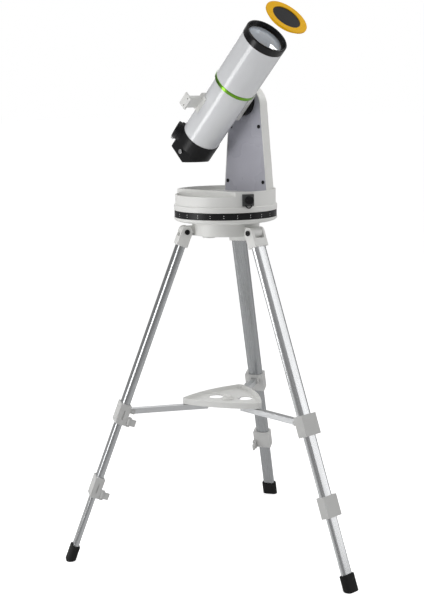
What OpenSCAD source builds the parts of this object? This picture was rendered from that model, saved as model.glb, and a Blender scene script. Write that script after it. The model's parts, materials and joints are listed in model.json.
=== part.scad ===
// Single-arm alt-azimuth refractor on an extending aluminium tripod.
// Origin on the floor under the azimuth axis, +Z up, +X below the front of the tube.
// The arm stands on the +Y side, the finder shoe and the eyepiece on the -Y side.

/* [Tripod] */
// Distance of each leg pivot from the azimuth axis
pivot_r = 88; // [84:1:100]
// Height of the leg pivots above the floor
pivot_z = 707; // [660:1:760]
// Lean of each open leg from the vertical
lean = 20.8; // [18:0.1:23]
// Radius of the hub casting
hub_r = 72; // [68:1:74]
// Underside of the hub casting
hub_z = 699; // [696:1:702]
// Wall of the hub casting
hub_wall = 5; // [3:0.5:8]
// Width of each hub tongue
tongue_w = 24; // [18:1:26]
// Radius of the leg pivot bolts
bolt_r = 3; // [2.5:0.1:4]

/* [Leg tubes] */
// Width of the upper leg tube
upper_w = 34; // [31:0.5:36]
// Depth of the upper leg tube
upper_d = 18.5; // [17:0.5:20]
// Wall of every leg tube
tube_wall = 1.2; // [1:0.1:1.5]
// Gap between two nested leg tubes
tube_gap = 0.5; // [0.4:0.05:0.7]
// Distance from the pivot to the upper clamp, along the leg
upper_clamp_s = 413; // [390:1:430]
// Distance from the pivot to the lower clamp, along the leg
lower_clamp_s = 583; // [560:1:600]
// Length of each nested tube above its clamp
nest_len = 143; // [120:1:160]

/* [Clamps] */
// Height of each clamp
clamp_h = 44; // [38:1:50]
// Wall of the clamp around the tube
clamp_wall = 2.5; // [2.5:0.5:4]
// Width of the boss that holds the lever
boss_w = 4; // [4:0.5:9]
// Length of the lever
lever_len = 16; // [14:1:22]

/* [Feet] */
// Height of each rubber foot
foot_h = 34; // [28:1:40]
// Rubber around the lower tube
foot_wall = 4; // [3:0.5:5]

/* [Spreader and tray] */
// Length of each spreader arm, pin to inner end
arm_len = 167; // [155:1:175]
// Width of each spreader arm
arm_w = 14; // [12:0.5:15]
// Height of each spreader arm
arm_h = 12; // [10:0.5:12]
// Reach of each tray corner
tray_r = 100; // [90:1:102]
// Height of the tray rim
tray_h = 13; // [10:0.5:16]
// Gap between the arms and the tray
tray_gap = 1.6; // [1.5:0.1:3]
// Radius of the eyepiece holes in the tray
tray_hole_r = 16; // [12:0.5:17]

/* [Base] */
// Radius of the round base
base_r = 110; // [108:1:120]
// Underside of the base plate
base_z = 728; // [728:1:732]
// Thickness of the base plate
plate_h = 9.5; // [8:0.5:12]
// Height of the azimuth scale
scale_h = 14; // [10:0.5:16]
// Height of the turntable ring
table_h = 12; // [9:0.5:16]
// Radius of the housing on the turntable
housing_r = 107; // [106:0.5:108]
// Height of the housing rim
housing_h = 31; // [28:1:36]
// Wall of the housing
housing_wall = 3; // [2:0.5:4]
// Front edge of the raised housing, measured from the axis
pocket_y = 57; // [50:1:65]

/* [Arm] */
// Face of the arm panel, measured from the tube axis
panel_y = 59.4; // [58:0.1:64]
// Thickness of the arm panel
panel_t = 3; // [2:0.5:4]
// Thickness of the arm with its panel
arm_t = 20.6; // [18:0.2:22]
// Half width of the arm at its foot
arm_foot = 66; // [60:1:66]
// Half width of the arm at its head
arm_head = 48; // [40:1:52]
// Wall of the arm shell
shell_wall = 3; // [2:0.5:4]

/* [Optical tube] */
// Height of the altitude axis above the floor
axis_z = 978; // [960:1:1000]
// Rest altitude of the tube
altitude = 45; // [30:1:60]
// Radius of the main tube
tube_r = 42.3; // [40:0.1:44]
// Wall of the main tube and the dew shield
skin = 2; // [1.5:0.1:2.5]
// Radius of the dew shield
shield_r = 46.3; // [45.8:0.1:48]
// Rear end of the main tube, behind the altitude axis
tube_rear = 101; // [95:1:110]
// Rear end of the trim ring, ahead of the altitude axis
trim_front = 46; // [44:1:60]
// Length of the trim ring
trim_len = 7.5; // [5:0.5:10]
// Rear end of the black band of the front ring
ring_start = 166.3; // [160:0.1:170]
// Length of the black band
ring_len = 16; // [14:0.1:20]
// Length of the front ring inside the dew shield
ring_neck = 10.3; // [8.5:0.1:12]
// Radius of the objective lens
lens_r = 38; // [35:0.5:39]
// Bore of the eyepiece socket
socket_bore_r = 15.95; // [15.9:0.01:16]
// Roll of the eyepiece socket from upright towards the open side
socket_roll = 42; // [38:1:46]

/* [Solar filter] */
// Distance of the lifted filter from the altitude axis
filter_lift = 241; // [215:1:260]
// Drop of the lifted filter below the tube axis
filter_drop = 15; // [0:1:15]
// Radius of the filter film
film_r = 31; // [28:0.5:34]

/* [Hidden] */
LEGS = [1, 2, 3];
$fn = 64;
tiny = 0.01;
run_gap = 0.05;
body_gap = 0.3;

mid_w = upper_w - 2 * (tube_wall + tube_gap);
mid_d = upper_d - 2 * (tube_wall + tube_gap);
low_w = mid_w - 2 * (tube_wall + tube_gap);
low_d = mid_d - 2 * (tube_wall + tube_gap);
leg_len = pivot_z / cos(lean);
head_ear_r = 12;
head_ear_t = 6.5;
head_w = tongue_w + 0.8 + 2 * head_ear_t;
head_slot_s = 14;
head_end_s = 32;
plug_len = 18;
bolt_head_h = 3;

clamp_x = upper_d / 2 + clamp_wall;
lug_s = upper_clamp_s - 10;
lug_reach = 8;
lug_t = 4;
pin_r = 2.5;
arm_pin_x = clamp_x + lug_reach;
lever_pin_r = 2;
arm_pin_r = pivot_r + lug_s * sin(lean) - arm_pin_x * cos(lean);
arm_pin_z = pivot_z - lug_s * cos(lean) - arm_pin_x * sin(lean);
tray_z = arm_pin_z + arm_h / 2 + tray_gap;
tray_floor = 3;
tray_rim = 3;
tray_side = 66;
tray_corner = 104;
tray_bulge = (pow(tray_corner * sin(60), 2) + pow(tray_side - tray_corner / 2, 2))
    / (2 * (tray_side - tray_corner / 2));

scale_z = base_z + plate_h;
table_z = scale_z + scale_h + body_gap;
housing_z = table_z + table_h;
deck_z = housing_z + housing_h - 9;
spindle_r = 12;
spindle_top = housing_z + 8;
mount_r = 5;
socket_az = -17.4;
socket_z = housing_z + 14;

arm_back = panel_y + arm_t;
arm_head_z = axis_z - 14;
axle_r = 8;
bush_r = 14;
screw_low_z = 807;
screw_high_z = 924;
screw_inset = 8.5;
hub_disc_r = 31;
hub_disc_t = 9;
saddle_y = panel_y - body_gap - hub_disc_t;

lens_seat = ring_start - ring_neck + 8;
lens_edge = 8;
housing_len = 61;
housing_or = 43.5;
flat_y = 33;
flat_n = 33;
wedge_sum = tube_rear + 81;
socket_or = 18.5;
socket_l = -(tube_rear + socket_or + 1);
socket_start = 34;
socket_end = 56;
knob_l = -147;
knob_n = -2;
mirror_t = 3;
shoe_l = -24;
shoe_n = 27;
shoe_reach = 78;
flange_t = 3;
spigot_len = 5;
spigot_r = 39.3;

// Frame of leg i: origin at its pivot, -Z down the leg, +X outwards.
module leg_frame(i) {
    rotate([0, 0, (i - 1) * 120]) translate([pivot_r, 0, pivot_z]) rotate([0, -lean, 0]) children();
}

// Frame of the optical tube: origin on the altitude axis, +X forwards, +Z its top.
module tube_frame() {
    translate([0, 0, axis_z]) rotate([0, -altitude, 0]) children();
}

// Flat-sided oval, w along Y and d along X.
module oval(w, d) {
    square([d, w - d], center = true);
    for (side = [-1, 1]) translate([0, side * (w - d) / 2]) circle(d = d);
}

// Oval tube from s0 to s1 down the leg.
module leg_tube(w, d, s0, s1) {
    translate([0, 0, -s1]) linear_extrude(s1 - s0) difference() {
        oval(w, d);
        oval(w - 2 * tube_wall, d - 2 * tube_wall);
    }
}

// Ring around the tube axis from x0 to x1.
module tube_ring(ro, ri, x0, x1) {
    translate([x0, 0, 0]) rotate([0, 90, 0]) difference() {
        cylinder(r = ro, h = x1 - x0);
        translate([0, 0, -1]) cylinder(r = ri, h = x1 - x0 + 2);
    }
}

module leg_head(i) {
    color("whitesmoke") leg_frame(i) difference() {
        union() {
            rotate([90, 0, 0]) cylinder(r = head_ear_r, h = head_w, center = true);
            translate([-head_ear_r, -head_w / 2, -head_end_s]) cube([2 * head_ear_r, head_w, head_end_s]);
            translate([0, 0, -head_end_s - plug_len]) linear_extrude(plug_len + tiny)
                oval(upper_w - 2 * tube_wall - 0.2, upper_d - 2 * tube_wall - 0.2);
        }
        translate([-head_ear_r - 1, -tongue_w / 2 - 0.4, -head_slot_s])
            cube([2 * head_ear_r + 2, tongue_w + 0.8, 2 * head_ear_r + head_slot_s]);
        rotate([90, 0, 0]) cylinder(r = bolt_r + run_gap, h = head_w + 2, center = true);
    }
}

module leg_upper_tube(i) {
    color("silver") leg_frame(i) leg_tube(upper_w, upper_d, head_end_s, upper_clamp_s + 2);
}

module leg_middle_tube(i) {
    color("silver") leg_frame(i) leg_tube(mid_w, mid_d, upper_clamp_s - nest_len, lower_clamp_s + 2);
}

module leg_lower_tube(i) {
    color("silver") leg_frame(i) leg_tube(low_w, low_d, lower_clamp_s - nest_len, leg_len - 12);
}

// Clamp block centred s down the leg: the fixed tube seats in its upper part,
// the sliding tube runs through its lower part.
module clamp_body(s, w, d, slide_w, slide_d) {
    difference() {
        union() {
            translate([-d / 2 - clamp_wall, -w / 2 - clamp_wall, -s - clamp_h / 2])
                cube([d + 2 * clamp_wall, w + 2 * clamp_wall + boss_w, clamp_h]);
            for (z = [-s - 2.6, -s - 20.6])
                translate([-d / 2 - clamp_wall - 8, w / 2 + clamp_wall - 2, z - 1.4])
                    cube([8 + tiny, 8, 2.6]);
        }
        translate([0, 0, -s - 2]) linear_extrude(clamp_h) oval(w, d);
        translate([0, 0, -s - clamp_h]) linear_extrude(2 * clamp_h)
            oval(slide_w + 2 * tube_gap, slide_d + 2 * tube_gap);
        translate([-1.5, w / 2 + clamp_wall + boss_w - 2, -s - 10]) cube([3, 3, 20]);
        translate([-d / 2 - clamp_wall - 4.5, w / 2 + clamp_wall + 2, -s - clamp_h / 2])
            cylinder(r = lever_pin_r + run_gap, h = clamp_h / 2);
    }
}

// Lever of the clamp centred s down the leg, on its own pin.
module clamp_lever(s, w, d) {
    translate([-d / 2 - clamp_wall - 4.5, w / 2 + clamp_wall + 2, -s]) {
        translate([0, 0, -21.2]) cylinder(r = lever_pin_r, h = 19);
        translate([0, 0, -19]) cylinder(r = 4, h = 14.6);
        translate([-lever_len + 3, -2.5, -19]) cube([lever_len - 3, 5, 14.6]);
        translate([-lever_len + 3, 0, -19]) cylinder(r = 2.5, h = 14.6);
    }
}

module upper_clamp(i) {
    color("lightgray") leg_frame(i) {
        clamp_body(upper_clamp_s, upper_w, upper_d, mid_w, mid_d);
        for (side = [-1, 1]) difference() {
            translate([-arm_pin_x - 5, side * (arm_w / 2 + 0.4 + lug_t / 2) - lug_t / 2, -lug_s - 5])
                cube([lug_reach + 5 + tiny, lug_t, 10]);
            translate([-arm_pin_x, 0, -lug_s]) rotate([90, 0, 0])
                cylinder(r = pin_r + run_gap, h = 40, center = true);
        }
    }
}

module lower_clamp(i) {
    color("lightgray") leg_frame(i) clamp_body(lower_clamp_s, mid_w, mid_d, low_w, low_d);
}

module upper_clamp_lever(i) {
    color("lightgray") leg_frame(i) clamp_lever(upper_clamp_s, upper_w, upper_d);
}

module lower_clamp_lever(i) {
    color("lightgray") leg_frame(i) clamp_lever(lower_clamp_s, mid_w, mid_d);
}

module rubber_foot(i) {
    color("black") intersection() {
        leg_frame(i) difference() {
            translate([0, 0, -leg_len - 20]) linear_extrude(foot_h + 20)
                oval(low_w + 2 * foot_wall, low_d + 2 * foot_wall);
            translate([0, 0, -leg_len + 12]) linear_extrude(foot_h) oval(low_w, low_d);
        }
        translate([-500, -500, 0]) cube([1000, 1000, 200]);
    }
}

// Inverted channel, level at rest, with its pin at the outer end.
module spreader_arm(i) {
    color("silver") rotate([0, 0, (i - 1) * 120]) translate([arm_pin_r, 0, arm_pin_z]) {
        rotate([90, 0, 0]) cylinder(r = pin_r, h = arm_w + 0.8 + 2 * lug_t, center = true);
        rotate([90, 0, 0]) cylinder(r = arm_h / 2, h = arm_w, center = true);
        difference() {
            translate([-arm_len, -arm_w / 2, -arm_h / 2]) cube([arm_len, arm_w, arm_h]);
            translate([-arm_len + 6, -arm_w / 2 + 1.5, -arm_h / 2 - 1])
                cube([arm_len - 16, arm_w - 3, arm_h - 1]);
        }
    }
}

module tray_outline(inset) {
    intersection() {
        for_corner(0, inset);
        for_corner(120, inset);
        for_corner(240, inset);
        circle(r = tray_r - inset);
    }
}

// Disc whose far edge is one bowed side of the tray.
module for_corner(az, inset) {
    rotate(az) translate([tray_bulge - tray_side, 0]) circle(r = tray_bulge - inset, $fn = 120);
}

module accessory_tray() {
    color("whitesmoke") translate([0, 0, tray_z]) difference() {
        linear_extrude(tray_h) tray_outline(0);
        translate([0, 0, tray_floor]) linear_extrude(tray_h) tray_outline(tray_rim);
        for (az = [60, 180, 300]) rotate([0, 0, az]) translate([38, 0, -1]) cylinder(r = tray_hole_r, h = 9);
        translate([0, 0, -1]) cylinder(r = 4 + run_gap, h = 9);
    }
}

module tray_knob() {
    color("lightgray") translate([0, 0, tray_z]) {
        translate([0, 0, -0.8]) cylinder(r = 4, h = tray_floor + 1.8);
        translate([0, 0, tray_floor + body_gap]) cylinder(r = 12, h = 5);
        translate([-11, -1.5, tray_floor + 5]) cube([22, 3, 5]);
    }
}

module tripod_hub() {
    color("whitesmoke") difference() {
        union() {
            translate([0, 0, hub_z]) cylinder(r = hub_r, h = base_z - hub_z);
            for (i = LEGS) rotate([0, 0, (i - 1) * 120]) {
                translate([pivot_r, 0, pivot_z]) rotate([90, 0, 0])
                    cylinder(r = 11, h = tongue_w, center = true);
                translate([hub_r - 6, -tongue_w / 2, pivot_z - 8]) cube([pivot_r - hub_r + 6, tongue_w, 19]);
            }
        }
        difference() {
            translate([0, 0, hub_z - 1]) cylinder(r = hub_r - hub_wall, h = base_z - hub_z - 5);
            rotate([0, 0, -97]) translate([44, 0, 0]) cylinder(r = 14, h = 2000);
        }
        for (i = LEGS) rotate([0, 0, (i - 1) * 120]) translate([pivot_r, 0, pivot_z])
            rotate([90, 0, 0]) cylinder(r = bolt_r, h = 60, center = true);
        translate([0, 0, hub_z]) cylinder(r = mount_r + run_gap, h = 60);
    }
    color("whitesmoke") rotate([0, 0, -97]) translate([44, 0, hub_z - 5]) cylinder(r = 14, h = 6);
}

module leg_pivot_bolts() {
    color("black") for (i = LEGS) rotate([0, 0, (i - 1) * 120]) translate([pivot_r, 0, pivot_z])
        rotate([90, 0, 0]) {
            cylinder(r = bolt_r, h = head_w + 1, center = true);
            for (side = [-1, 1]) translate([0, 0, side * (head_w / 2 + body_gap + bolt_head_h / 2)])
                cylinder(r = 5.5, h = bolt_head_h, center = true);
        }
}

module mounting_knob() {
    color("dimgray") {
        translate([0, 0, hub_z + 3]) cylinder(r = 20, h = 14);
        translate([0, 0, hub_z + 3]) cylinder(r = mount_r, h = base_z - hub_z + 3);
        for (a = [0 : 30 : 330]) rotate([0, 0, a]) translate([20, 0, hub_z + 3]) cylinder(r = 2, h = 14);
    }
}

module base_plate() {
    color("white") difference() {
        union() {
            rotate_extrude($fn = 120) polygon([[0, base_z], [base_r - 10, base_z], [base_r - 4, base_z + 2],
                [base_r, base_z + 5], [base_r, scale_z], [0, scale_z]]);
            translate([0, 0, scale_z - tiny]) cylinder(r = spindle_r, h = spindle_top - scale_z);
        }
        translate([0, 0, base_z - 1]) cylinder(r = mount_r + run_gap, h = plate_h);
    }
}

module azimuth_scale() {
    color("black") translate([0, 0, scale_z]) difference() {
        cylinder(r = base_r - 1, h = scale_h, $fn = 120);
        translate([0, 0, -1]) cylinder(r = base_r - 12, h = scale_h + 2);
    }
}

module turntable() {
    color("white") translate([0, 0, table_z]) difference() {
        cylinder(r = base_r, h = table_h, $fn = 120);
        translate([0, 0, -1]) cylinder(r = spindle_r + run_gap, h = table_h + 2);
    }
}

// Half plane from y0 towards +Y.
module beyond(y0, z0, h) {
    translate([-200, y0, z0]) cube([400, 400, h]);
}

module base_housing() {
    rim_z = housing_z + housing_h;
    color("white") difference() {
        translate([0, 0, housing_z]) cylinder(r = housing_r, h = housing_h, $fn = 120);
        // room under the deck for the drive
        intersection() {
            translate([0, 0, housing_z - 1])
                cylinder(r = housing_r - housing_wall, h = deck_z - housing_z - 2);
            beyond(-pocket_y + housing_wall, housing_z - 1, 60);
        }
        // dish above the deck
        intersection() {
            translate([0, 0, deck_z]) cylinder(r = housing_r - housing_wall, h = 60);
            beyond(-pocket_y + housing_wall, deck_z, 60);
        }
        // open pocket ahead of the deck
        difference() {
            translate([0, 0, housing_z + 3]) cylinder(r = housing_r - housing_wall, h = 60);
            beyond(-pocket_y, housing_z, 100);
        }
        // lower front rim
        translate([-200, -pocket_y - 400, rim_z - 10]) cube([400, 400, 20]);
        // seat of the socket plate
        rotate([0, 0, socket_az]) translate([housing_r - 2, -13, socket_z - 12]) cube([20, 26, 24]);
        translate([0, 0, housing_z]) cylinder(r = spindle_r + 1, h = 10);
    }
}

module socket_plate() {
    color("dimgray") rotate([0, 0, socket_az]) translate([housing_r - 2, -13, socket_z - 12]) difference() {
        cube([4, 26, 24]);
        translate([-1, 13, 12]) rotate([0, 90, 0]) cylinder(r = 4 + run_gap, h = 10);
    }
}

module power_knob() {
    color("black") rotate([0, 0, socket_az]) translate([housing_r - 1.6, 0, socket_z]) rotate([0, 90, 0]) {
        cylinder(r = 4, h = 6);
        translate([0, 0, 3.9]) cylinder(r = 8, h = 9);
    }
}

// Outline of the arm, x sideways and y up.
module arm_outline(inset) {
    polygon([[-arm_foot + inset, deck_z], [arm_foot - inset, deck_z],
        [arm_head - inset, arm_head_z], [-arm_head + inset, arm_head_z]]);
    translate([0, arm_head_z]) circle(r = arm_head - inset, $fn = 96);
}

// Slab of the arm outline between two distances from the tube axis.
module arm_slab(inset, y0, y1) {
    translate([0, y1, 0]) rotate([90, 0, 0]) linear_extrude(y1 - y0) arm_outline(inset);
}

module arm_shell() {
    color("white") difference() {
        arm_slab(0, panel_y, arm_back);
        arm_slab(2, panel_y - 1, panel_y + panel_t);
        difference() {
            intersection() {
                arm_slab(2 + shell_wall, panel_y, arm_back - shell_wall);
                translate([-200, -200, deck_z + shell_wall]) cube([400, 400, 400]);
            }
            translate([0, 0, axis_z]) rotate([-90, 0, 0]) cylinder(r = bush_r, h = 200);
            for (p = screw_spots()) translate([p[0], 0, p[1]]) rotate([-90, 0, 0]) cylinder(r = 5, h = 200);
        }
        translate([0, 0, axis_z]) rotate([-90, 0, 0])
            cylinder(r = axle_r + run_gap, h = arm_back - shell_wall);
        for (p = screw_spots()) translate([p[0], 0, p[1]]) rotate([-90, 0, 0])
            cylinder(r = 2, h = panel_y + panel_t + 8);
    }
}

function arm_half(z) = arm_foot + (arm_head - arm_foot) * (z - deck_z) / (arm_head_z - deck_z);
function screw_spots() = [for (z = [screw_low_z, screw_high_z]) for (side = [-1, 1])
    [side * (arm_half(z) - screw_inset - 1), z]];

module arm_panel() {
    color("lightsteelblue") difference() {
        arm_slab(2, panel_y, panel_y + panel_t);
        translate([0, 0, axis_z]) rotate([-90, 0, 0]) cylinder(r = axle_r + 1, h = 100);
        for (p = screw_spots()) translate([p[0], 0, p[1]]) rotate([-90, 0, 0]) cylinder(r = 2, h = 100);
    }
}

module panel_screws() {
    color("black") for (p = screw_spots()) translate([p[0], 0, p[1]]) rotate([-90, 0, 0]) {
        translate([0, 0, panel_y]) cylinder(r = 2, h = panel_t + 8);
        translate([0, 0, panel_y - 1.6]) cylinder(r = 4, h = 1.6);
    }
}

// Azimuth drive under the deck and altitude drive inside the arm.
module drive_gearmotors() {
    room = arm_t - panel_t - shell_wall;
    color("dimgray") {
        translate([30, 14, housing_z]) {
            translate([-15, -14, 0]) cube([30, 28, 8]);
            cylinder(r = 11, h = 17);
        }
        translate([-14, panel_y + panel_t, axis_z - 90]) {
            cube([28, room, 44]);
            translate([14, room / 2, 44 - tiny]) cylinder(r = 6, h = 20);
        }
    }
}

module main_tube() {
    color("white") tube_frame() tube_ring(tube_r, tube_r - skin, -tube_rear, ring_start - ring_neck);
}

module trim_ring() {
    color("limegreen") tube_frame() tube_ring(shield_r + 0.5, tube_r, trim_front, trim_front + trim_len);
}

module dew_shield() {
    color("white") tube_frame() tube_ring(shield_r, shield_r - skin, trim_front + trim_len, ring_start);
}

module front_ring() {
    top = ring_neck + ring_len;
    color("black") tube_frame() translate([ring_start - ring_neck, 0, 0]) rotate([0, 90, 0])
        rotate_extrude($fn = 96) polygon([
            [lens_r - 2.5, 0], [shield_r - skin, 0], [shield_r - skin, ring_neck], [shield_r, ring_neck],
            [shield_r, top - 1.5], [shield_r - 1.5, top], [lens_r + 4.5, top], [lens_r + 3.5, 17],
            [lens_r, 17], [lens_r, 8], [lens_r - 2.5, 8]]);
}

module objective_lens() {
    bow = 150;
    sag = bow - sqrt(bow * bow - lens_r * lens_r);
    color("lightcyan", 0.5) tube_frame() translate([lens_seat, 0, 0]) rotate([0, 90, 0]) intersection() {
        cylinder(r = lens_r, h = lens_edge + sag);
        translate([0, 0, lens_edge + sag - bow]) sphere(r = bow, $fn = 96);
    }
}

// Space behind the plane that leans 45 degrees under the rear of the tube.
module below_wedge(sum) {
    translate([-sum, 0, 0]) rotate([0, -45, 0]) translate([-300, -150, -300]) cube([300, 300, 600]);
}

module socket_axis() {
    translate([socket_l, 0, 0]) rotate([socket_roll, 0, 0]) children();
}

// Frame of the mirror: +X out of its face, which crosses the socket axis.
module mirror_frame() {
    socket_axis() rotate([0, -45, 0]) children();
}

module rear_housing() {
    color("black") tube_frame() difference() {
        union() {
            translate([-tube_rear - 30, 0, 0]) rotate([0, 90, 0]) cylinder(r = housing_or, h = 30);
            intersection() {
                translate([-tube_rear - housing_len, 0, 0]) rotate([0, 90, 0])
                    cylinder(r = housing_or, h = housing_len);
                translate([-tube_rear - housing_len, -flat_y, -housing_or])
                    cube([housing_len, 2 * flat_y, housing_or + flat_n]);
            }
            socket_axis() cylinder(r = socket_or + 2, h = 48);
        }
        below_wedge(wedge_sum);
        difference() {
            union() {
                translate([-tube_rear - 26, 0, 0]) rotate([0, 90, 0]) cylinder(r = 38, h = 60);
                translate([-tube_rear - housing_len + 6, 0, 0]) rotate([0, 90, 0]) cylinder(r = 28, h = 60);
            }
            below_wedge(wedge_sum - 6);
            // cradle of the mirror
            mirror_frame() translate([-60, -8, -8]) cube([60 - mirror_t, 16, 16]);
        }
        socket_axis() cylinder(r = socket_or, h = 80);
        translate([-tube_rear, 0, 0]) rotate([0, 90, 0]) cylinder(r = 60, h = 60);
        translate([knob_l, 0, knob_n]) rotate([90, 0, 0]) cylinder(r = 2 + run_gap, h = 60);
    }
}

module diagonal_mirror() {
    color("lightsteelblue") tube_frame() mirror_frame() translate([-mirror_t, -18, -22])
        cube([mirror_t, 36, 44]);
}

module eyepiece_socket() {
    color("black") tube_frame() socket_axis() difference() {
        translate([0, 0, socket_start]) cylinder(r = socket_or, h = socket_end - socket_start);
        translate([0, 0, socket_start - 1]) cylinder(r = socket_bore_r, h = 60);
        translate([0, 0, socket_end - 5]) rotate([0, -90, 0]) cylinder(r = 1.6 + run_gap, h = 40);
    }
}

module socket_thumbscrew() {
    color("silver") tube_frame() socket_axis() translate([0, 0, socket_end - 5]) rotate([0, -90, 0]) {
        translate([0, 0, socket_bore_r + 0.4]) cylinder(r = 1.6, h = 8);
        translate([0, 0, socket_or + 3]) cylinder(r = 3.4, h = 5);
    }
}

module side_knob() {
    color("silver") tube_frame() translate([knob_l, 0, knob_n]) rotate([90, 0, 0]) {
        translate([0, 0, flat_y - 7]) cylinder(r = 2, h = 8);
        translate([0, 0, flat_y + body_gap]) cylinder(r = 5, h = 4);
    }
}

module finder_shoe() {
    color("whitesmoke") tube_frame() difference() {
        union() {
            translate([shoe_l - 15, -shoe_reach, shoe_n - 10.5]) cube([30, 4, 21]);
            translate([shoe_l - 13, -shoe_reach + 4, shoe_n - 7]) cube([26, 60, 9]);
            translate([shoe_l - 20, -42, shoe_n - 17]) cube([40, 20, 20]);
        }
        translate([-200, 0, 0]) rotate([0, 90, 0]) cylinder(r = tube_r, h = 400);
        for (dx = [-9, 9]) translate([shoe_l + dx, -shoe_reach + 8, shoe_n - 3])
            rotate([90, 0, 0]) cylinder(r = 1.7, h = 20);
    }
}

module tube_saddle() {
    color("whitesmoke") tube_frame() difference() {
        translate([-34, 24, -24]) cube([72, saddle_y - 24, 48]);
        translate([-200, 0, 0]) rotate([0, 90, 0]) cylinder(r = tube_r, h = 400);
    }
}

module altitude_hub() {
    color("black") tube_frame() rotate([-90, 0, 0]) {
        translate([0, 0, saddle_y]) cylinder(r = hub_disc_r, h = hub_disc_t);
        translate([0, 0, saddle_y]) cylinder(r = axle_r, h = arm_back - shell_wall - 1 - saddle_y);
    }
}

module filter_ring() {
    color("orange") tube_frame() translate([filter_lift, 0, -filter_drop]) {
        tube_ring(shield_r, film_r, 0, flange_t);
        tube_ring(spigot_r, spigot_r - 2, -spigot_len, tiny);
    }
}

module filter_film() {
    color("black") tube_frame() translate([filter_lift + 0.5, 0, -filter_drop]) rotate([0, 90, 0])
        cylinder(r = film_r, h = 1);
}

for (i = LEGS) {
    leg_head(i);
    leg_upper_tube(i);
    upper_clamp(i);
    upper_clamp_lever(i);
    leg_middle_tube(i);
    lower_clamp(i);
    lower_clamp_lever(i);
    leg_lower_tube(i);
    rubber_foot(i);
    spreader_arm(i);
}
tripod_hub();
leg_pivot_bolts();
mounting_knob();
accessory_tray();
tray_knob();
base_plate();
azimuth_scale();
turntable();
base_housing();
socket_plate();
power_knob();
arm_shell();
arm_panel();
panel_screws();
drive_gearmotors();
main_tube();
trim_ring();
dew_shield();
front_ring();
objective_lens();
rear_housing();
diagonal_mirror();
eyepiece_socket();
socket_thumbscrew();
side_knob();
finder_shoe();
tube_saddle();
altitude_hub();
filter_ring();
filter_film();
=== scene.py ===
import json
import math
import bmesh
import bpy
from mathutils import Matrix, Vector


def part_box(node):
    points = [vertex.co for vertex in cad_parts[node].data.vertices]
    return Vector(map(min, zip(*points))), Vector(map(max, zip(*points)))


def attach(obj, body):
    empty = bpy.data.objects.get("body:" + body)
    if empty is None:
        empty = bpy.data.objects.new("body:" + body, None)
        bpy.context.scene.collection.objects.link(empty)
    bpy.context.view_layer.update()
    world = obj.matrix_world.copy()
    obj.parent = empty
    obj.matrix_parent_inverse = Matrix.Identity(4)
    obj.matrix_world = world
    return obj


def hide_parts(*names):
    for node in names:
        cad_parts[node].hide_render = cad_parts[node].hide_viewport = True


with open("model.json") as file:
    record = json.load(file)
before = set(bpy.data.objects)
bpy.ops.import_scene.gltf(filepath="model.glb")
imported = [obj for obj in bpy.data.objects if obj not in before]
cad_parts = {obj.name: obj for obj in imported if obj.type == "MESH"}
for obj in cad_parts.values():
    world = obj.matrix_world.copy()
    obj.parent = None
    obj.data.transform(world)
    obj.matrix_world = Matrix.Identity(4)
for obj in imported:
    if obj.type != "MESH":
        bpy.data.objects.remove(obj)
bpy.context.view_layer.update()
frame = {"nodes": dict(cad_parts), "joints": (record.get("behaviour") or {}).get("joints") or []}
mm = 0.001
legs = (1, 2, 3)
joints = {joint["name"]: joint for joint in frame["joints"]}
sharpAngle = math.radians(32)


def orient(direction, up=(0, 0, 1), roll=0.0):
    # local -Z looks along the direction, as cameras and lights do
    forward = Vector(direction).normalized()
    right = forward.cross(Vector(up)).normalized()
    top = right.cross(forward)
    upTilted = top * math.cos(roll) + right * math.sin(roll)
    rightTilted = right * math.cos(roll) - top * math.sin(roll)
    return Matrix((rightTilted, upTilted, -forward)).transposed().to_4x4()


def addCamera():
    look = {
        "place": (1.8124, -1.6922, 0.9787),
        "heading": (-0.7396, 0.6730),
        "pitchDown": 0.16929,
        "roll": 0.015,
        "lens": 69.79,
    }
    flat = math.cos(look["pitchDown"])
    direction = (look["heading"][0] * flat, look["heading"][1] * flat, -math.sin(look["pitchDown"]))
    data = bpy.data.cameras.new("camera")
    data.lens = look["lens"]
    data.sensor_width = 36
    data.clip_start = 0.05
    camera = bpy.data.objects.new("camera", data)
    camera.matrix_world = Matrix.Translation(look["place"]) @ orient(direction, roll=look["roll"])
    bpy.context.scene.collection.objects.link(camera)
    bpy.context.scene.camera = camera


def facingAlong(place, aim, along):
    # local X follows a direction and -Z turns to the aim, as for a strip beside a tube
    side = Vector(along).normalized()
    toAim = Vector(aim) - Vector(place)
    forward = (toAim - toAim.dot(side) * side).normalized()
    top = (-forward).cross(side)
    return Matrix((side, top, -forward)).transposed().to_4x4()


def addSoftbox(name, look):
    data = bpy.data.lights.new(name, "AREA")
    data.shape = "RECTANGLE"
    data.size, data.size_y = look["size"]
    data.energy = look["watts"]
    light = bpy.data.objects.new(name, data)
    if "along" in look:
        turn = facingAlong(look["place"], look["aim"], look["along"])
    else:
        turn = orient(Vector(look["aim"]) - Vector(look["place"]))
    light.matrix_world = Matrix.Translation(look["place"]) @ turn
    bpy.context.scene.collection.objects.link(light)


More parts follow.
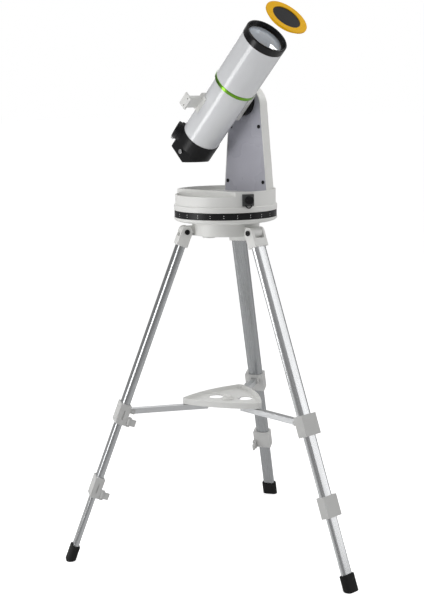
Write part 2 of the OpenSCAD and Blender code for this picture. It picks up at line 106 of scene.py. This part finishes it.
def addSky(look):
    # paler overhead and darker at the sides, so bright metal keeps its contrast
    world = bpy.data.worlds.new("studio")
    world.use_nodes = True
    nodes, links = world.node_tree.nodes, world.node_tree.links
    coords = nodes.new("ShaderNodeTexCoord")
    parts = nodes.new("ShaderNodeSeparateXYZ")
    links.new(coords.outputs["Generated"], parts.inputs["Vector"])
    rise = nodes.new("ShaderNodeMapRange")
    rise.interpolation_type = "SMOOTHSTEP"
    rise.inputs["From Min"].default_value, rise.inputs["From Max"].default_value = look["edge"]
    rise.inputs["To Min"].default_value = look["low"]
    rise.inputs["To Max"].default_value = look["high"]
    links.new(parts.outputs["Z"], rise.inputs["Value"])
    # seen directly the sky is white, whatever it lights
    sight = nodes.new("ShaderNodeLightPath")
    seen = nodes.new("ShaderNodeMix")
    links.new(sight.outputs["Is Camera Ray"], seen.inputs[0])
    links.new(rise.outputs["Result"], seen.inputs[2])
    seen.inputs[3].default_value = 1.0
    nodes["Background"].inputs["Color"].default_value = (1, 1, 1, 1)
    links.new(seen.outputs[0], nodes["Background"].inputs["Strength"])
    bpy.context.scene.world = world


def addLights():
    middle = (0, 0, 0.7)
    softboxes = {
        "lensSoftbox": {"place": (0.75, 1.05, 2.05), "aim": (0.12, -0.05, 1.1),
                        "size": (0.9, 0.4), "watts": 7},
        "tubeStrip": {"place": (-0.42, -0.85, 0.53), "aim": (0.05, -0.05, 1.0), "along": (0.707, 0, 0.707),
                      "size": (1.0, 0.28), "watts": 3.4},
        "keySoftbox": {"place": (-0.7, -2.4, 1.7), "aim": middle, "size": (0.5, 2.0), "watts": 10},
        "fillSoftbox": {"place": (1.5, 1.35, 1.1), "aim": middle, "size": (0.6, 1.8), "watts": 4.6},
        "topSoftbox": {"place": (0.4, -0.4, 3.0), "aim": middle, "size": (1.6, 1.6), "watts": 6.8},
        "backSoftbox": {"place": (-2.0, 1.2, 1.8), "aim": middle, "size": (0.8, 1.4), "watts": 4},
    }
    addSky({"low": 0.24, "high": 0.55, "edge": (0.1, 0.8)})
    for name, look in softboxes.items():
        addSoftbox(name, look)
    bpy.context.scene.view_settings.view_transform = "Standard"


addCamera()
addLights()
print("stage: camera and lights")


def newGroup(name, inputs, outputs):
    # a shader group with its sockets, as a tree and its two end nodes
    tree = bpy.data.node_groups.new(name, "ShaderNodeTree")
    for label, kind, value in inputs:
        socket = tree.interface.new_socket(label, in_out="INPUT", socket_type=kind)
        if value is not None:
            socket.default_value = value
    for label, kind in outputs:
        tree.interface.new_socket(label, in_out="OUTPUT", socket_type=kind)
    return tree, tree.nodes.new("NodeGroupInput"), tree.nodes.new("NodeGroupOutput")


def buildMouldedGrain():
    # fine moulded texture and broad unevenness
    tree, given, result = newGroup(
        "mouldedGrain",
        [("Vector", "NodeSocketVector", None), ("Grain Scale", "NodeSocketFloat", 900.0),
         ("Blotch Scale", "NodeSocketFloat", 9.0), ("Detail", "NodeSocketFloat", 3.0)],
        [("Grain", "NodeSocketFloat"), ("Blotch", "NodeSocketFloat")])
    grain = tree.nodes.new("ShaderNodeTexNoise")
    blotch = tree.nodes.new("ShaderNodeTexNoise")
    for node, label in ((grain, "Grain Scale"), (blotch, "Blotch Scale")):
        tree.links.new(given.outputs["Vector"], node.inputs["Vector"])
        tree.links.new(given.outputs[label], node.inputs["Scale"])
        tree.links.new(given.outputs["Detail"], node.inputs["Detail"])
    spread = tree.nodes.new("ShaderNodeMapRange")
    spread.inputs["From Min"].default_value = 0.35
    spread.inputs["From Max"].default_value = 0.65
    tree.links.new(blotch.outputs["Fac"], spread.inputs["Value"])
    tree.links.new(grain.outputs["Fac"], result.inputs["Grain"])
    tree.links.new(spread.outputs["Result"], result.inputs["Blotch"])
    return tree


def buildDrawnStreaks():
    # lines left by drawing or turning a metal part, long on one axis
    tree, given, result = newGroup(
        "drawnStreaks",
        [("Vector", "NodeSocketVector", None), ("Across", "NodeSocketFloat", 700.0),
         ("Stretch", "NodeSocketVector", (1.0, 1.0, 0.01))],
        [("Streak", "NodeSocketFloat"), ("Fine", "NodeSocketFloat")])
    stretched = tree.nodes.new("ShaderNodeVectorMath")
    stretched.operation = "MULTIPLY"
    tree.links.new(given.outputs["Vector"], stretched.inputs[0])
    tree.links.new(given.outputs["Stretch"], stretched.inputs[1])
    streak = tree.nodes.new("ShaderNodeTexNoise")
    streak.inputs["Detail"].default_value = 4.0
    tree.links.new(stretched.outputs["Vector"], streak.inputs["Vector"])
    tree.links.new(given.outputs["Across"], streak.inputs["Scale"])
    fine = tree.nodes.new("ShaderNodeTexNoise")
    fine.inputs["Scale"].default_value = 30.0
    tree.links.new(given.outputs["Vector"], fine.inputs["Vector"])
    tree.links.new(streak.outputs["Fac"], result.inputs["Streak"])
    tree.links.new(fine.outputs["Fac"], result.inputs["Fine"])
    return tree


def buildScuffs():
    # sparse rubbed marks, 1 where the surface is worn
    tree, given, result = newGroup(
        "scuffs",
        [("Vector", "NodeSocketVector", None), ("Scale", "NodeSocketFloat", 60.0),
         ("Amount", "NodeSocketFloat", 0.3)],
        [("Worn", "NodeSocketFloat")])
    patch = tree.nodes.new("ShaderNodeTexNoise")
    patch.inputs["Detail"].default_value = 6.0
    patch.inputs["Distortion"].default_value = 1.5
    tree.links.new(given.outputs["Vector"], patch.inputs["Vector"])
    tree.links.new(given.outputs["Scale"], patch.inputs["Scale"])
    limits = tree.nodes.new("ShaderNodeMapRange")
    limits.inputs["From Min"].default_value = 0.58
    limits.inputs["From Max"].default_value = 0.7
    tree.links.new(patch.outputs["Fac"], limits.inputs["Value"])
    amount = tree.nodes.new("ShaderNodeMath")
    amount.operation = "MULTIPLY"
    tree.links.new(limits.outputs["Result"], amount.inputs[0])
    tree.links.new(given.outputs["Amount"], amount.inputs[1])
    tree.links.new(amount.outputs["Value"], result.inputs["Worn"])
    return tree


mouldedGrain = buildMouldedGrain()
drawnStreaks = buildDrawnStreaks()
scuffs = buildScuffs()


def placeGroup(nodes, tree, values):
    node = nodes.new("ShaderNodeGroup")
    node.node_tree = tree
    for label, value in values.items():
        node.inputs[label].default_value = value
    return node


def startFinish(name, look):
    # a material with its plain values set and its object coordinates ready
    material = bpy.data.materials.new(name)
    material.use_nodes = True
    nodes, links = material.node_tree.nodes, material.node_tree.links
    shader = nodes["Principled BSDF"]
    for socket, key in (("Metallic", "metallic"), ("Coat Weight", "coat"), ("Coat Roughness", "coatRough"),
                        ("IOR", "ior"), ("Transmission Weight", "clear"), ("Specular IOR Level", "shine")):
        if key in look:
            shader.inputs[socket].default_value = look[key]
    coords = nodes.new("ShaderNodeTexCoord")
    return material, nodes, links, shader, coords.outputs["Object"]


def mixColours(nodes, links, factor, first, second):
    mix = nodes.new("ShaderNodeMix")
    mix.data_type = "RGBA"
    for socket, colour in ((mix.inputs[6], first), (mix.inputs[7], second)):
        if isinstance(colour, bpy.types.NodeSocket):
            links.new(colour, socket)
        else:
            socket.default_value = (*colour, 1)
    links.new(factor, mix.inputs[0])
    return mix.outputs[2]


def spreadValue(nodes, links, value, low, high):
    spread = nodes.new("ShaderNodeMapRange")
    spread.inputs["To Min"].default_value = low
    spread.inputs["To Max"].default_value = high
    links.new(value, spread.inputs["Value"])
    return spread.outputs["Result"]


def addBump(nodes, links, shader, height, strength, distance):
    bump = nodes.new("ShaderNodeBump")
    bump.inputs["Strength"].default_value = strength
    bump.inputs["Distance"].default_value = distance
    links.new(height, bump.inputs["Height"])
    links.new(bump.outputs["Normal"], shader.inputs["Normal"])


def mouldedFinish(name, look):
    material, nodes, links, shader, coords = startFinish(name, look)
    grain = placeGroup(nodes, mouldedGrain, {"Grain Scale": look["grain"], "Blotch Scale": look["blotch"]})
    worn = placeGroup(nodes, scuffs, {"Scale": look["scuffScale"], "Amount": look["scuffs"]})
    links.new(coords, grain.inputs["Vector"])
    links.new(coords, worn.inputs["Vector"])
    body = mixColours(nodes, links, grain.outputs["Blotch"], look["colour"], look["shade"])
    rubbed = mixColours(nodes, links, worn.outputs["Worn"], body, look["rubbed"])
    links.new(rubbed, shader.inputs["Base Color"])
    rough = spreadValue(nodes, links, grain.outputs["Blotch"], *look["rough"])
    links.new(rough, shader.inputs["Roughness"])
    addBump(nodes, links, shader, grain.outputs["Grain"], look["bump"], look["bumpDepth"])
    return material


def metalFinish(name, look, turn=(0, 0, 0)):
    material, nodes, links, shader, coords = startFinish(name, look)
    mapping = nodes.new("ShaderNodeMapping")
    mapping.vector_type = "TEXTURE"
    mapping.inputs["Rotation"].default_value = turn
    links.new(coords, mapping.inputs["Vector"])
    streaks = placeGroup(nodes, drawnStreaks, {"Across": look["across"], "Stretch": look["stretch"]})
    links.new(mapping.outputs["Vector"], streaks.inputs["Vector"])
    worn = placeGroup(nodes, scuffs, {"Scale": look["scuffScale"], "Amount": look["scuffs"]})
    links.new(coords, worn.inputs["Vector"])
    body = mixColours(nodes, links, streaks.outputs["Streak"], look["colour"], look["shade"])
    rubbed = mixColours(nodes, links, worn.outputs["Worn"], body, look["rubbed"])
    links.new(rubbed, shader.inputs["Base Color"])
    rough = spreadValue(nodes, links, streaks.outputs["Streak"], *look["rough"])
    links.new(rough, shader.inputs["Roughness"])
    addBump(nodes, links, shader, streaks.outputs["Streak"], look["bump"], look["bumpDepth"])
    return material


def moulded(colour, rough, **more):
    # a moulded or lacquered finish from a few values, the rest at their usual ones
    look = {
        "colour": colour, "shade": tuple(c * 0.94 for c in colour),
        "rubbed": tuple(c * 0.9 + 0.02 for c in colour),
        "rough": rough, "grain": 1400.0, "blotch": 8.0, "bump": 0.25, "bumpDepth": 0.0002,
        "scuffs": 0.12, "scuffScale": 35.0,
    }
    look.update(more)
    return look


def metal(colour, rough, **more):
    # the same for a drawn or turned metal
    look = {
        "colour": colour, "shade": tuple(c * 0.82 for c in colour), "rubbed": tuple(c * 0.7 for c in colour),
        "rough": rough, "metallic": 1.0, "across": 500.0, "stretch": (1.0, 1.0, 0.012),
        "bump": 0.05, "bumpDepth": 0.00005, "scuffs": 0.15, "scuffScale": 18.0,
    }
    look.update(more)
    return look


def buildFinishes():
    made = {
        "whiteLacquer": mouldedFinish("whiteLacquer", moulded(
            (0.80, 0.81, 0.83), (0.16, 0.24), grain=260.0, bump=0.05, coat=0.7, coatRough=0.06)),
        "whitePlastic": mouldedFinish("whitePlastic", moulded((0.83, 0.83, 0.81), (0.36, 0.48))),
        "greyPlastic": mouldedFinish("greyPlastic", moulded((0.62, 0.62, 0.61), (0.4, 0.52))),
        "blackPlastic": mouldedFinish("blackPlastic", moulded(
            (0.010, 0.010, 0.011), (0.3, 0.42), shine=0.22, rubbed=(0.02, 0.02, 0.02))),
        "blackMetal": mouldedFinish("blackMetal", moulded(
            (0.006, 0.006, 0.007), (0.18, 0.26), shine=0.3, rubbed=(0.015, 0.015, 0.015))),
        "greyPanel": mouldedFinish("greyPanel", moulded(
            (0.50, 0.50, 0.56), (0.24, 0.32), shade=(0.47, 0.47, 0.53), bump=0.08, coat=0.3)),
        "blackRubber": mouldedFinish("blackRubber", moulded(
            (0.012, 0.012, 0.012), (0.62, 0.78), shine=0.25, grain=700.0, bump=0.4, scuffs=0.5,
            rubbed=(0.035, 0.035, 0.032))),
        "lensGlass": mouldedFinish("lensGlass", moulded(
            (0.72, 0.80, 0.90), (0.02, 0.04), clear=0.45, ior=1.52, coat=1.0, coatRough=0.02, bump=0.01,
            scuffs=0.05)),
        "mirrorGlass": metalFinish("mirrorGlass", metal((0.85, 0.86, 0.88), (0.03, 0.06), bump=0.02)),
        "brightSteel": metalFinish("brightSteel", metal((0.78, 0.78, 0.79), (0.1, 0.2))),
        "greenAnodised": metalFinish("greenAnodised", metal(
            (0.17, 0.40, 0.03), (0.18, 0.28), stretch=(0.02, 1.0, 0.02), coat=0.15)),
        "gearCase": mouldedFinish("gearCase", moulded((0.06, 0.06, 0.065), (0.4, 0.5))),
        "switchGrey": mouldedFinish("switchGrey", moulded((0.08, 0.085, 0.085), (0.45, 0.6))),
        "amberPlastic": mouldedFinish("amberPlastic", moulded(
            (0.86, 0.46, 0.0), (0.3, 0.4), shade=(0.80, 0.41, 0.0), shine=0.1, rubbed=(0.85, 0.48, 0.01))),
        "filterFoil": mouldedFinish("filterFoil", moulded(
            (0.010, 0.010, 0.011), (0.3, 0.45), shine=0.15, grain=300.0, bump=0.5)),
        "markWhite": mouldedFinish("markWhite", moulded((0.82, 0.82, 0.82), (0.5, 0.6))),
    }
    # the drawing lines of each leg run down that leg
    fold = math.radians(20.8)
    # each leg gets its own brightness of one aluminium, as painted light and shade: the right leg lit
    # bright, the back leg shaded dark, the left leg between
    paintedLegShades = {1: (0.76, 0.77, 0.78), 2: (0.42, 0.43, 0.44), 3: (0.54, 0.55, 0.56)}
    for leg in legs:
        turn = (0, -fold, math.radians(120 * (leg - 1)))
        made[f"shadedLegAluminium{leg}"] = metalFinish(f"shadedLegAluminium{leg}", metal(paintedLegShades[leg], (0.22, 0.32)), turn)
    made["armAluminium"] = metalFinish("armAluminium", metal(
        (0.80, 0.81, 0.82), (0.25, 0.4), stretch=(0.05, 0.05, 1.0)))
    return made


finishes = buildFinishes()
print("finishes:", len(finishes))


def linkPiece(name, mesh):
    piece = bpy.data.objects.new(name, mesh)
    bpy.context.scene.collection.objects.link(piece)
    return piece


def finishPiece(piece, body, finish):
    piece.data.materials.clear()
    piece.data.materials.append(finishes[finish])
    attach(piece, body)
    return piece


def smoothFaces(mesh, sharp):
    work = bmesh.new()
    work.from_mesh(mesh)
    for face in work.faces:
        face.smooth = True
    for edge in work.edges:
        edge.smooth = len(edge.link_faces) == 2 and edge.calc_face_angle(0) < sharp
    work.to_mesh(mesh)
    work.free()


def mergedCopy(node):
    # a node's mesh is loose triangles, so a copy is joined and its flat faces made whole
    weld, flat = 0.002 * mm, math.radians(0.4)
    mesh = frame["nodes"][node].data.copy()
    work = bmesh.new()
    work.from_mesh(mesh)
    bmesh.ops.remove_doubles(work, verts=work.verts, dist=weld)
    bmesh.ops.dissolve_limit(work, angle_limit=flat, verts=work.verts, edges=work.edges)
    work.to_mesh(mesh)
    work.free()
    for layer in list(mesh.uv_layers):
        mesh.uv_layers.remove(layer)
    if mesh.attributes.get("custom_normal"):
        mesh.attributes.remove(mesh.attributes["custom_normal"])
    return mesh


def softenNode(node, body, finish, edge, segments=2, cutters=()):
    # stands for a CAD node, with its edges rounded and any recesses cut
    mesh = mergedCopy(node)
    piece = linkPiece(node + "Soft", mesh)
    for cutter in cutters:
        cut = piece.modifiers.new("recess", "BOOLEAN")
        cut.operation = "DIFFERENCE"
        cut.solver = "EXACT"
        cut.object = cutter
    if cutters:
        piece = bakePiece(piece, node + "Soft")
    smoothFaces(piece.data, sharpAngle)
    if edge:
        bevel = piece.modifiers.new("rounded", "BEVEL")
        bevel.width = edge
        bevel.segments = segments
        bevel.limit_method = "ANGLE"
        bevel.angle_limit = sharpAngle
        bevel.use_clamp_overlap = True
        bevel.miter_outer = "MITER_ARC"
        level = piece.modifiers.new("evenShading", "WEIGHTED_NORMAL")
        level.keep_sharp = True
    finishPiece(piece, body, finish)
    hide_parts(node)
    return piece


def bakePiece(piece, name, place=None):
    # the evaluated shape as a plain mesh, in its place, on a new object at the origin
    depsgraph = bpy.context.evaluated_depsgraph_get()
    mesh = bpy.data.meshes.new_from_object(piece.evaluated_get(depsgraph))
    if place is not None:
        mesh.transform(place)
    bpy.data.objects.remove(piece)
    mesh.name = name
    return linkPiece(name, mesh)


def hexCutters(name, spots, axis, radius, depth):
    # one mesh of six-sided prisms, for socket heads
    mesh = bpy.data.meshes.new(name)
    work = bmesh.new()
    turn = Vector(axis).to_track_quat("Z", "Y").to_matrix().to_4x4()
    for spot in spots:
        bmesh.ops.create_cone(work, cap_ends=True, segments=6, radius1=radius, radius2=radius,
                              depth=2 * depth, matrix=Matrix.Translation(spot) @ turn)
    work.to_mesh(mesh)
    work.free()
    return linkPiece(name, mesh)


def buildRingTree():
    # one small part repeated around a ring, each turned outwards
    tree = bpy.data.node_groups.new("partsAroundRing", "GeometryNodeTree")
    tree.interface.new_socket("Geometry", in_out="OUTPUT", socket_type="NodeSocketGeometry")
    for label, kind, value in (
            ("Count", "NodeSocketInt", 12), ("Ring Radius", "NodeSocketFloat", 0.01),
            ("Sides", "NodeSocketInt", 8), ("Part Radius", "NodeSocketFloat", 0.001),
            ("Part Length", "NodeSocketFloat", 0.002), ("Part Turn", "NodeSocketVector", (0.0, 0.0, 0.0)),
            ("Finish", "NodeSocketMaterial", None)):
        socket = tree.interface.new_socket(label, in_out="INPUT", socket_type=kind)
        if value is not None:
            socket.default_value = value
    nodes, links = tree.nodes, tree.links
    given = nodes.new("NodeGroupInput")
    result = nodes.new("NodeGroupOutput")
    ring = nodes.new("GeometryNodeMeshCircle")
    links.new(given.outputs["Count"], ring.inputs["Vertices"])
    links.new(given.outputs["Ring Radius"], ring.inputs["Radius"])
    part = nodes.new("GeometryNodeMeshCylinder")
    links.new(given.outputs["Sides"], part.inputs["Vertices"])
    links.new(given.outputs["Part Radius"], part.inputs["Radius"])
    links.new(given.outputs["Part Length"], part.inputs["Depth"])
    turned = nodes.new("GeometryNodeTransform")
    links.new(part.outputs["Mesh"], turned.inputs["Geometry"])
    links.new(given.outputs["Part Turn"], turned.inputs["Rotation"])
    place = nodes.new("GeometryNodeInputPosition")
    outwards = nodes.new("FunctionNodeAlignRotationToVector")
    outwards.axis = "X"
    links.new(place.outputs["Position"], outwards.inputs["Vector"])
    spread = nodes.new("GeometryNodeInstanceOnPoints")
    links.new(ring.outputs["Mesh"], spread.inputs["Points"])
    links.new(turned.outputs["Geometry"], spread.inputs["Instance"])
    links.new(outwards.outputs["Rotation"], spread.inputs["Rotation"])
    real = nodes.new("GeometryNodeRealizeInstances")
    links.new(spread.outputs["Instances"], real.inputs["Geometry"])
    coloured = nodes.new("GeometryNodeSetMaterial")
    links.new(real.outputs["Geometry"], coloured.inputs["Geometry"])
    links.new(given.outputs["Finish"], coloured.inputs["Material"])
    links.new(coloured.outputs["Geometry"], result.inputs["Geometry"])
    return tree


ringTree = buildRingTree()


def ringOfParts(name, values, place):
    # the ring tree's result for these values, as a plain mesh in its place
    holder = linkPiece(name + "Holder", bpy.data.meshes.new(name + "Holder"))
    spread = holder.modifiers.new("ring", "NODES")
    spread.node_group = ringTree
    for item in ringTree.interface.items_tree:
        if item.in_out == "INPUT" and item.name in values:
            spread[item.identifier] = values[item.name]
    return bakePiece(holder, name, place)


def joinPieces(name, parts):
    work = bmesh.new()
    for part in parts:
        work.from_mesh(part.data)
        bpy.data.objects.remove(part)
    mesh = bpy.data.meshes.new(name)
    work.to_mesh(mesh)
    work.free()
    return linkPiece(name, mesh)


def alongAxis(point, axis):
    # local Z along the axis, origin at the point
    return Matrix.Translation(point) @ Vector(axis).to_track_quat("Z", "Y").to_matrix().to_4x4()


def jointPlace(joint):
    return alongAxis(joints[joint]["pos_m"], joints[joint]["axis"])


def finishTripod():
    look = {"hubEdge": 1.6 * mm, "headEdge": 2.2 * mm, "clampEdge": 1.2 * mm, "leverEdge": 1.0 * mm,
            "footEdge": 1.5 * mm, "armEdge": 0.5 * mm, "trayEdge": 0.9 * mm}
    softenNode("tripod_hub", "stand", "whitePlastic", look["hubEdge"], 3)
    softenNode("mounting_knob", "mount_bolt", "greyPlastic", 0.7 * mm)
    for leg in legs:
        # the tubes take that leg's aluminium, whose brightness is painted light and shade
        shadedTubeFinish = f"shadedLegAluminium{leg}"
        softenNode(f"leg_head_{leg}", f"leg_{leg}", "whitePlastic", look["headEdge"], 3)
        softenNode(f"leg_upper_tube_{leg}", f"leg_{leg}", shadedTubeFinish, 0)
        softenNode(f"leg_middle_tube_{leg}", f"leg_middle_{leg}", shadedTubeFinish, 0)
        softenNode(f"leg_lower_tube_{leg}", f"leg_lower_{leg}", shadedTubeFinish, 0)
        softenNode(f"upper_clamp_{leg}", f"leg_{leg}", "greyPlastic", look["clampEdge"])
        softenNode(f"lower_clamp_{leg}", f"leg_middle_{leg}", "greyPlastic",
                   look["clampEdge"])
        softenNode(f"upper_clamp_lever_{leg}", f"upper_lever_{leg}", "greyPlastic",
                   look["leverEdge"])
        softenNode(f"lower_clamp_lever_{leg}", f"lower_lever_{leg}", "greyPlastic",
                   look["leverEdge"])
        softenNode(f"rubber_foot_{leg}", f"leg_lower_{leg}", "blackRubber",
                   look["footEdge"], 3)
        softenNode(f"spreader_arm_{leg}", f"arm_{leg}", "armAluminium", look["armEdge"])
    softenNode("accessory_tray", "tray", "whitePlastic", look["trayEdge"])
    softenNode("tray_knob", "tray_lock", "whitePlastic", 0.8 * mm)


def boltCorners(middle, reach):
    mesh = frame["nodes"]["leg_pivot_bolts"].data
    return [v.co for v in mesh.vertices if (v.co - middle).length < reach]


def addPivotBolts():
    # a hexagon recess in both ends of each bolt
    look = {"hexRadius": 2.6 * mm, "hexDepth": 1.6 * mm, "edge": 0.5 * mm, "search": 30 * mm}
    cutters = []
    for leg in legs:
        fold = joints[f"leg_{leg}_fold"]
        axis, middle = Vector(fold["axis"]), Vector(fold["pos_m"])
        reach = max(abs((corner - middle).dot(axis)) for corner in boltCorners(middle, look["search"]))
        spots = [middle + axis * reach, middle - axis * reach]
        cutters.append(hexCutters(f"boltHex{leg}", spots, axis, look["hexRadius"], look["hexDepth"]))
    softenNode("leg_pivot_bolts", "stand", "blackPlastic", look["edge"], cutters=cutters)
    for cutter in cutters:
        bpy.data.objects.remove(cutter)


finishTripod()
addPivotBolts()
print("tripod: softened nodes and bolts")


def finishBase():
    softenNode("base_plate", "stand", "whitePlastic", 1.0 * mm, 3)
    softenNode("azimuth_scale", "stand", "blackPlastic", 0.5 * mm)
    softenNode("turntable", "head", "whitePlastic", 1.8 * mm, 3)
    softenNode("base_housing", "head", "whitePlastic", 1.2 * mm, 3)
    softenNode("socket_plate", "head", "switchGrey", 0.6 * mm)
    softenNode("power_knob", "power_switch", "blackPlastic", 0.9 * mm, 3)
    softenNode("arm_shell", "head", "whitePlastic", 2.6 * mm, 4)
    softenNode("arm_panel", "head", "greyPanel", 0.5 * mm)
    softenNode("drive_gearmotors", "head", "gearCase", 1.0 * mm)


def addScaleMarks():
    # two rows of white dots around the azimuth scale
    look = {"count": 24, "rows": (4.5 * mm, 9.0 * mm), "dot": 0.8 * mm, "sides": 12, "stand": 0.25 * mm}
    low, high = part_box("azimuth_scale")
    parts = []
    for row, rise in enumerate(look["rows"]):
        values = {
            "Count": look["count"], "Ring Radius": high.x - look["stand"] / 2, "Sides": look["sides"],
            "Part Radius": look["dot"], "Part Length": 2 * look["stand"],
            "Part Turn": (0, math.radians(90), 0), "Finish": finishes["markWhite"],
        }
        parts.append(ringOfParts(f"scaleRow{row}", values, Matrix.Translation((0, 0, low.z + rise))))
    finishPiece(joinPieces("scaleMarks", parts), "stand", "markWhite")


def addKnobRibs(name, joint, body, look, finish):
    # ribs around a knob, along its joint's axis
    values = {
        "Count": look["count"], "Ring Radius": look["ring"], "Sides": look["sides"],
        "Part Radius": look["rib"], "Part Length": look["length"], "Finish": finishes[finish],
    }
    place = jointPlace(joint) @ Matrix.Translation((0, 0, look["offset"]))
    finishPiece(ringOfParts(name, values, place), body, finish)


def centreOffset(node, joint):
    # how far the middle of a node lies from its joint's point, along the joint
    low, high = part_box(node)
    return ((low + high) / 2 - Vector(joints[joint]["pos_m"])).dot(Vector(joints[joint]["axis"]))


def addPanelScrews():
    # a hexagon recess in each of the four heads, which are told apart by height and side
    look = {"hexRadius": 1.9 * mm, "hexDepth": 1.1 * mm, "edge": 0.4 * mm, "faceDepth": 0.1 * mm,
            "betweenRows": 0.86}
    mesh = frame["nodes"]["panel_screws"].data
    front = min(v.co.y for v in mesh.vertices)
    heads = [v.co for v in mesh.vertices if v.co.y < front + look["faceDepth"]]
    centres = []
    for high in (False, True):
        for right in (False, True):
            group = [h for h in heads if (h.z > look["betweenRows"]) == high and (h.x > 0) == right]
            lowX, highX = min(h.x for h in group), max(h.x for h in group)
            lowZ, highZ = min(h.z for h in group), max(h.z for h in group)
            centres.append(((lowX + highX) / 2, front, (lowZ + highZ) / 2))
    cutter = hexCutters("screwHex", centres, (0, 1, 0), look["hexRadius"], look["hexDepth"])
    softenNode("panel_screws", "head", "blackPlastic", look["edge"], cutters=[cutter])
    bpy.data.objects.remove(cutter)


def addCapStrap():
    # short moulded loop under the switch, both ends on the plate
    look = {"halfWidth": 6.5 * mm, "drop": 5.5 * mm, "radius": 1.1 * mm, "stand": 3.2 * mm, "steps": 14,
            "aboveEdge": 1.5 * mm, "sunk": 1.0 * mm, "sharp": math.radians(50)}
    turnAxis = Vector(joints["power_knob_turn"]["axis"])
    sideways = Vector((0, 0, 1)).cross(turnAxis).normalized()
    low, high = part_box("socket_plate")
    face = Vector(joints["power_knob_turn"]["pos_m"])
    foot = Vector((face.x, face.y, low.z + look["aboveEdge"])) - turnAxis * look["sunk"]
    curve = bpy.data.curves.new("capStrap", "CURVE")
    curve.dimensions = "3D"
    curve.bevel_depth = look["radius"]
    curve.bevel_resolution = 3
    curve.use_fill_caps = True
    path = curve.splines.new("POLY")
    path.points.add(look["steps"])
    for step in range(look["steps"] + 1):
        angle = math.pi * step / look["steps"]
        spot = (foot + sideways * (look["halfWidth"] * math.cos(angle))
                - Vector((0, 0, look["drop"])) * math.sin(angle)
                + turnAxis * (look["stand"] * math.sin(angle)))
        path.points[step].co = (*spot, 1)
    holder = bpy.data.objects.new("capStrapPath", curve)
    bpy.context.scene.collection.objects.link(holder)
    piece = bakePiece(holder, "capStrap")
    smoothFaces(piece.data, look["sharp"])
    finishPiece(piece, "head", "blackRubber")


finishBase()
addScaleMarks()
addPanelScrews()
addCapStrap()
addKnobRibs("powerKnobRibs", "power_knob_turn", "power_switch",
            {"count": 20, "ring": 8.0 * mm, "sides": 6, "rib": 0.6 * mm, "length": 6.5 * mm,
             "offset": centreOffset("power_knob", "power_knob_turn") + 2.2 * mm},
            "blackPlastic")
print("base: housing, arm, scale marks, switch")


def finishTube():
    softenNode("main_tube", "optical_tube", "whiteLacquer", 0.4 * mm)
    softenNode("dew_shield", "optical_tube", "whiteLacquer", 0.4 * mm)
    softenNode("trim_ring", "optical_tube", "greenAnodised", 0.8 * mm, 3)
    softenNode("front_ring", "optical_tube", "blackMetal", 0.5 * mm)
    softenNode("objective_lens", "optical_tube", "lensGlass", 0)
    softenNode("rear_housing", "optical_tube", "blackPlastic", 1.4 * mm, 3)
    softenNode("diagonal_mirror", "optical_tube", "mirrorGlass", 0.3 * mm)
    softenNode("eyepiece_socket", "optical_tube", "blackMetal", 0.7 * mm, 3)
    softenNode("finder_shoe", "optical_tube", "whitePlastic", 0.8 * mm)
    softenNode("tube_saddle", "optical_tube", "whitePlastic", 1.2 * mm)
    softenNode("altitude_hub", "optical_tube", "blackPlastic", 1.2 * mm, 3)
    softenNode("socket_thumbscrew", "thumbscrew", "brightSteel", 0.4 * mm)
    softenNode("side_knob", "flip_knob", "brightSteel", 0.5 * mm)
    softenNode("filter_ring", "solar_filter", "amberPlastic", 0.8 * mm, 3)
    softenNode("filter_film", "solar_filter", "filterFoil", 0.1 * mm)


finishTube()
addKnobRibs("thumbscrewRibs", "thumbscrew_turn", "thumbscrew",
            {"count": 16, "ring": 3.35 * mm, "sides": 6, "rib": 0.35 * mm, "length": 4.2 * mm,
             "offset": 23.5 * mm},
            "brightSteel")
print("tube: shells, rings, lens, housing, filter")


def addFloor():
    look = {"half": 60.0, "colour": (0.9, 0.9, 0.9), "shade": (0.88, 0.88, 0.88), "rough": (0.22, 0.26),
            "glow": 0.66}
    half = look["half"]
    mesh = bpy.data.meshes.new("floor")
    corners = [(-half, -half, 0), (half, -half, 0), (half, half, 0), (-half, half, 0)]
    mesh.from_pydata(corners, [], [(0, 1, 2, 3)])
    floor = linkPiece("floor", mesh)
    material = mouldedFinish("paleFloor", moulded(
        look["colour"], look["rough"], shade=look["shade"], bump=0.0, scuffs=0.0))
    # the floor glows for the eye only, so it stays pale without lighting the part from below
    nodes, links = material.node_tree.nodes, material.node_tree.links
    shader = nodes["Principled BSDF"]
    sight = nodes.new("ShaderNodeLightPath")
    glow = nodes.new("ShaderNodeMath")
    glow.operation = "MULTIPLY"
    glow.inputs[1].default_value = look["glow"]
    links.new(sight.outputs["Is Camera Ray"], glow.inputs[0])
    links.new(glow.outputs["Value"], shader.inputs["Emission Strength"])
    shader.inputs["Emission Color"].default_value = (1, 1, 1, 1)
    mesh.materials.append(material)


addFloor()
print("done: pieces finished")
